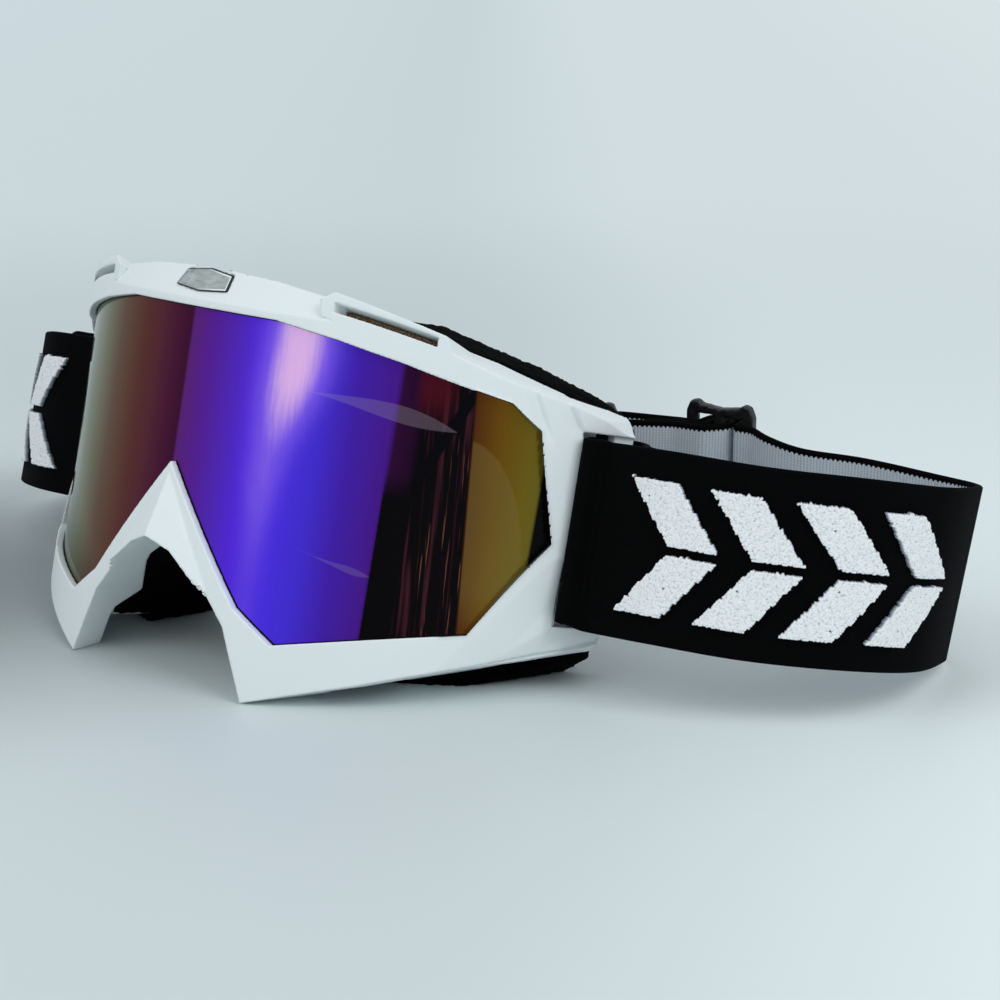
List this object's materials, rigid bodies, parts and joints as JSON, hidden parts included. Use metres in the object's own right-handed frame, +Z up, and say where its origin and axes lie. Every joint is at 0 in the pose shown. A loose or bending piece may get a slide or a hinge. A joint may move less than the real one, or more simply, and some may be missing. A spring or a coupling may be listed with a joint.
{
  "type": "motocross goggles",
  "caption": "Motocross goggles with a curved mirror lens in a flexible vented frame, layered face foam and an elastic head strap with sliders.",
  "frame": {"origin": "on the table, under the middle of the whole part's box", "axes": "+Z up from the table, -Y the way the lens faces, +X to the right seen from the front, along the goggles' width"},
  "size_m": [0.2948, 0.1391, 0.097],
  "materials": {
    "frame_white": "satin, soft",
    "lens_mirror": "mirror coated, purple and blue",
    "badge_silver": "brushed",
    "vent_foam": "open-cell foam",
    "vent_film": "open-cell foam",
    "face_foam": "open-cell foam",
    "fleece": "fleece",
    "strap_knit": "knitted elastic, pale on its inner side",
    "motif_chenille": "raised terry pile",
    "slider_plastic": "moulded, semi-gloss",
    "thread": "sewing thread"
  },
  "bodies": {
    "root": {"frame": "frame_white", "lens": "lens_mirror", "brow_badge": "badge_silver", "vent_foam_right": "vent_foam", "vent_foam_left": "vent_foam", "lower_vent_foam": "vent_film", "face_foam": "face_foam", "fleece_liner": "fleece", "strap_right_loop": "strap_knit", "strap_right_side": "strap_knit", "strap_left_loop": "strap_knit", "strap_left_side": "strap_knit", "motifs_right": "motif_chenille", "motifs_left": "motif_chenille", "ear_stitching": "thread"},
    "strap_rear": {"strap_right_fold": "strap_knit", "strap_right_rear": "strap_knit", "strap_right_end": "strap_knit", "strap_left_rear": "strap_knit", "left_slider": "slider_plastic", "right_end_stitching": "thread"},
    "slider": {"right_slider": "slider_plastic", "strap_left_end": "strap_knit", "left_end_stitching": "thread"}
  },
  "joints": [
    {"name": "strap_stretch", "type": "slide", "parent": "root", "child": "strap_rear", "axis": [0, 1, 0], "range_m": [0, 0.07], "stiffness_N_per_m": 110, "deforming": ["strap_right_side", "strap_left_side", "motifs_right", "motifs_left"]},
    {"name": "strap_adjust", "type": "slide", "parent": "strap_rear", "child": "slider", "axis": [0.9903, 0.1392, 0], "range_m": [-0.01, 0.03], "deforming": ["strap_right_rear", "strap_right_end", "strap_left_end", "left_end_stitching"]}
  ]
}
